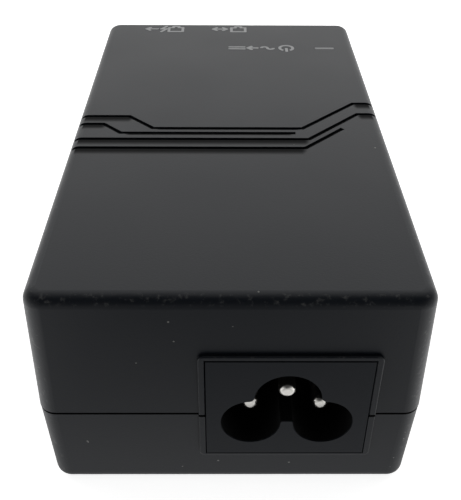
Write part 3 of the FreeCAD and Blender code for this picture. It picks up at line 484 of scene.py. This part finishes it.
def inkLine(start, end):
    # a flat bar from start to end whose four upright edges are rounded
    startSpot, endSpot = Vector((*start, inkHeight)), Vector((*end, inkHeight))
    run = endSpot - startSpot
    selectNothing()
    bpy.ops.mesh.primitive_cube_add(size=1, location=(startSpot + endSpot) / 2)
    bar = bpy.context.object
    bar.scale = (run.length + strokeLook["wide"], strokeLook["wide"], strokeLook["thick"])
    bar.rotation_euler.z = math.atan2(run.y, run.x)
    bpy.ops.object.transform_apply(location=True, rotation=True, scale=True)
    bpy.ops.object.mode_set(mode="EDIT")
    bpy.ops.mesh.select_mode(type="EDGE")
    bpy.ops.mesh.select_all(action="DESELECT")
    bpy.ops.object.mode_set(mode="OBJECT")
    for edge in bar.data.edges:
        first, second = (bar.data.vertices[i].co for i in edge.vertices)
        edge.select = abs(first.z - second.z) > strokeLook["thick"] / 2
    bpy.ops.object.mode_set(mode="EDIT")
    bpy.ops.mesh.bevel(offset=strokeLook["wide"] * strokeLook["rounding"], segments=strokeLook["roundSteps"],
                       affect="EDGES")
    bpy.ops.object.mode_set(mode="OBJECT")
    return bar


def inkArc(middle, radius, fromAngle, sweep):
    # a small upright rectangle spun round the middle
    selectNothing()
    angle = math.radians(fromAngle)
    spot = (middle[0] + radius * math.cos(angle), middle[1] + radius * math.sin(angle), inkHeight)
    bpy.ops.mesh.primitive_plane_add(size=1, location=spot)
    arc = bpy.context.object
    arc.rotation_euler = (math.pi / 2, 0, angle)
    arc.scale = (strokeLook["wide"], strokeLook["thick"], 1)
    bpy.ops.object.transform_apply(location=True, rotation=True, scale=True)
    bpy.ops.object.mode_set(mode="EDIT")
    bpy.ops.mesh.select_all(action="SELECT")
    bpy.ops.mesh.spin(steps=strokeLook["arcSteps"], angle=math.radians(sweep), center=(*middle, inkHeight),
                      axis=(0, 0, -1))
    bpy.ops.mesh.select_all(action="SELECT")
    bpy.ops.mesh.remove_doubles(threshold=strokeLook["weld"])
    bpy.ops.mesh.normals_make_consistent(inside=False)
    bpy.ops.object.mode_set(mode="OBJECT")
    return arc


def inkLines(*points):
    return [inkLine(first, second) for first, second in zip(points, points[1:])]


def printMarks(name, strokes):
    # each stroke is a shade thicker than the one before, so that no two tops lie in one plane
    # where they cross
    for count, stroke in enumerate(strokes):
        selectNothing()
        stroke.select_set(True)
        bpy.context.view_layer.objects.active = stroke
        bpy.ops.object.mode_set(mode="EDIT")
        bpy.ops.mesh.select_all(action="SELECT")
        stretch = 1 + count * strokeLook["thicker"]
        bpy.ops.transform.resize(value=(1, 1, stretch), center_override=(0, 0, topZ))
        bpy.ops.object.mode_set(mode="OBJECT")
    for stroke in strokes:
        stroke.select_set(True)
    bpy.ops.object.join()
    marks = bpy.context.object
    marks.name = name
    marks.data.name = name
    marks.data.materials.clear()
    marks.data.materials.append(inkFinish)
    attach(marks, "case")


def markPlace(centre):
    # the marks are read from the jacks' end, so their up is towards the inlet: u runs to -X, v to -Y
    return lambda u, v: (centre[0] - u * mm, centre[1] - v * mm)


standbyLook = {"radius": 1.35, "gap": 60, "stem": (0.3, 1.7)}


def standbyMark(at):
    place = markPlace(at)
    gap, (low, high) = standbyLook["gap"], standbyLook["stem"]
    ring = inkArc(at, standbyLook["radius"] * mm, gap / 2 - 90, 360 - gap)
    return [ring] + inkLines(place(0, low), place(0, high))


mainsLook = {"radius": 0.62}


def mainsMark(at):
    # one wave of alternating current
    radius = mainsLook["radius"] * mm
    return [inkArc((at[0] + radius, at[1]), radius, 180, 180),
            inkArc((at[0] - radius, at[1]), radius, 0, 180)]


arrowLook = {"barb": 0.8}


def arrowMark(at, reach=1.0, bothWays=False):
    place = markPlace(at)
    barb = arrowLook["barb"]
    strokes = inkLines(place(-reach, 0), place(reach, 0))
    strokes += inkLines(place(reach - barb, barb), place(reach, 0), place(reach - barb, -barb))
    if bothWays:
        strokes += inkLines(place(barb - reach, barb), place(-reach, 0), place(barb - reach, -barb))
    return strokes


directLook = {"half": 1.5, "apart": 0.5, "dashes": (-1.5, -0.35, 0.8), "dash": 0.7}


def directMark(at):
    # direct current: a bar over three dashes
    place = markPlace(at)
    half, apart = directLook["half"], directLook["apart"]
    strokes = inkLines(place(-half, apart), place(half, apart))
    for start in directLook["dashes"]:
        strokes += inkLines(place(start, -apart), place(start + directLook["dash"], -apart))
    return strokes


socketLook = {"half": 1.5, "foot": 0.6, "shoulder": -0.8}


def socketMark(at):
    # a modular jack seen from its end: a square with a narrower foot
    place = markPlace(at)
    half, foot, shoulder = socketLook["half"], socketLook["foot"], socketLook["shoulder"]
    outline = ((-half, half), (half, half), (half, shoulder), (foot, shoulder), (foot, -half),
               (-foot, -half), (-foot, shoulder), (-half, shoulder), (-half, half))
    return inkLines(*(place(u, v) for u, v in outline))


boltLook = {"points": ((0.5, 1.6), (-0.6, -0.1), (0.6, 0.1), (-0.5, -1.6))}


def boltMark(at):
    place = markPlace(at)
    return inkLines(*(place(u, v) for u, v in boltLook["points"]))


rowLook = {
    "status": {"standby": 11.9, "mains": 8.0, "arrow": 4.9, "direct": 1.7},     # x of each mark
    "fromRear": 4.3,                # how far the jacks' marks stand from the rear end
    "lan": {"socket": 2.1, "arrow": -1.9, "reach": 1.5},                        # either side of the jack
    "poe": {"socket": 2.5, "bolt": -0.1, "arrow": -2.7, "reach": 1.2},
}


def printAllMarks(look):
    rowY = middleOf("light_pipe")[1]
    labelY = bottomHigh.y - look["fromRear"] * mm

    def beside(x, offset):
        return x + offset * mm, labelY

    makers = {"standby": standbyMark, "mains": mainsMark, "arrow": arrowMark, "direct": directMark}
    strokes = []
    for key, maker in makers.items():
        strokes += maker((look["status"][key] * mm, rowY))
    printMarks("statusMarks", strokes)
    lan, lanX = look["lan"], middleOf("lan_contacts")[0]
    strokes = socketMark(beside(lanX, lan["socket"]))
    strokes += arrowMark(beside(lanX, lan["arrow"]), lan["reach"], bothWays=True)
    printMarks("lanPortMarks", strokes)
    poe, poeX = look["poe"], middleOf("poe_contacts")[0]
    strokes = socketMark(beside(poeX, poe["socket"])) + boltMark(beside(poeX, poe["bolt"]))
    strokes += arrowMark(beside(poeX, poe["arrow"]), poe["reach"])
    printMarks("poePortMarks", strokes)


printAllMarks(rowLook)
print("marks printed")


# camera, light and floor

cameraLook = {
    "place": (-0.759 * mm, -118.235 * mm, 96.14 * mm),
    "down": 36.63,                  # degrees, as are the next two
    "turn": 0.5325,
    "roll": 0.4037,
    "lens": 54.71,
    "sensor": 36.0,
    "clipStart": 0.01,
}


def placeCamera(look):
    camera = bpy.data.objects.new("camera", bpy.data.cameras.new("camera"))
    bpy.context.scene.collection.objects.link(camera)
    down, turn, roll = (math.radians(look[key]) for key in ("down", "turn", "roll"))
    ahead = Vector((math.sin(turn) * math.cos(down), math.cos(turn) * math.cos(down), -math.sin(down)))
    level = Vector((math.cos(turn), -math.sin(turn), 0))
    upright = level.cross(ahead)
    across = math.cos(roll) * level + math.sin(roll) * upright
    upwards = -math.sin(roll) * level + math.cos(roll) * upright
    facing = Matrix((across, upwards, -ahead)).transposed().to_4x4()
    camera.matrix_world = Matrix.Translation(look["place"]) @ facing
    camera.data.lens = look["lens"]
    camera.data.sensor_width = look["sensor"]
    camera.data.clip_start = look["clipStart"]
    bpy.context.scene.camera = camera


roomLook = {
    "glow": 1.24,                   # the soft light behind and above the object
    "glowWay": (0.0, 0.743, 0.669),
    "glowEdge": (0.36, 0.93),
    "ceiling": 0.05,
    "side": 0.8,                    # the walls to the left and right
    "sideFrom": (0.3, 0.9),
    "sideUpTo": (0.05, 0.55),
    "backdrop": 1.05,
    "colour": (1.0, 1.0, 1.0, 1.0),
}


def isCameraRay(tree):
    return addNode(tree, "ShaderNodeLightPath").outputs["Is Camera Ray"]


def makeRoom(look):
    # soft light from behind and above, paler walls at the sides, and a dark ceiling in front
    world = bpy.data.worlds.new("room")
    world.use_nodes = True
    tree = world.node_tree
    way = addNode(tree, "ShaderNodeTexCoord").outputs["Generated"]
    aimed = addNode(tree, "ShaderNodeVectorMath", operation="DOT_PRODUCT")
    tree.links.new(way, aimed.inputs[0])
    aimed.inputs[1].default_value = look["glowWay"]
    glow = between(tree, aimed.outputs["Value"], 0.0, look["glow"], *look["glowEdge"])
    parts = addNode(tree, "ShaderNodeSeparateXYZ")
    tree.links.new(way, parts.inputs[0])
    sides = both(tree, between(tree, sizeOf(tree, parts.outputs["X"]), 0.0, look["side"], *look["sideFrom"]),
                 between(tree, parts.outputs["Z"], 1.0, 0.0, *look["sideUpTo"]))
    total = worked(tree, "ADD", worked(tree, "ADD", glow, sides), look["ceiling"])
    shown = addNode(tree, "ShaderNodeMix", data_type="FLOAT")
    amount, lit, backdrop = shown.inputs[0], shown.inputs[2], shown.inputs[3]
    tree.links.new(isCameraRay(tree), amount)
    tree.links.new(total, lit)
    backdrop.default_value = look["backdrop"]
    tree.links.new(shown.outputs[0], tree.nodes["Background"].inputs["Strength"])
    tree.nodes["Background"].inputs["Color"].default_value = look["colour"]
    bpy.context.scene.world = world


floorLook = {
    "size": 6,
    "colours": ((0.86, 0.86, 0.86), (0.8772, 0.8772, 0.8772)),
    "cloudPerMetre": 3,
    "roughness": 0.9,
    "specular": 0.1,
    "glow": 0.88,                   # the lit part of the floor that casts no shade
    "glowColour": (1.0, 1.0, 1.0, 1.0),
    "near": (0.78, -52 * mm),       # how bright the floor is in the object's gloss, and where
    "far": (0.10, -128 * mm),
    "beside": (0.68, 31 * mm, 46 * mm),
}


def makeFloor(look):
    selectNothing()
    bpy.ops.mesh.primitive_plane_add(size=look["size"], location=(0, 0, 0))
    floor = bpy.context.object
    floor.name = "floor"
    finish, tree, shader = startFinish("paleFloor", look["roughness"], specular=look["specular"])
    place = objectPlace(tree)
    cloud = grain(tree, place, look["cloudPerMetre"])
    tree.links.new(blendColours(tree, cloud, *look["colours"]), shader.inputs["Base Color"])
    shader.inputs["Emission Color"].default_value = look["glowColour"]
    shader.inputs["Emission Strength"].default_value = look["glow"]
    spot = addNode(tree, "ShaderNodeSeparateXYZ")
    tree.links.new(place, spot.inputs["Vector"])
    (nearTone, nearY), (farTone, farY) = look["near"], look["far"]
    ahead = between(tree, spot.outputs["Y"], farTone, nearTone, farY, nearY)
    extra, innerX, outerX = look["beside"]
    beside = between(tree, sizeOf(tree, spot.outputs["X"]), 0.0, extra, innerX, outerX)
    tone = addNode(tree, "ShaderNodeEmission")
    tree.links.new(worked(tree, "ADD", ahead, beside), tone.inputs["Strength"])
    pick = addNode(tree, "ShaderNodeMixShader")
    for socket, value in zip(pick.inputs, (isCameraRay(tree), tone.outputs[0], shader.outputs[0])):
        tree.links.new(value, socket)
    tree.links.new(pick.outputs[0], tree.nodes["Material Output"].inputs["Surface"])
    floor.data.materials.append(finish)


bpy.context.scene.view_settings.view_transform = "Standard"
placeCamera(cameraLook)
makeRoom(roomLook)
makeFloor(floorLook)
print("camera, room and floor placed")
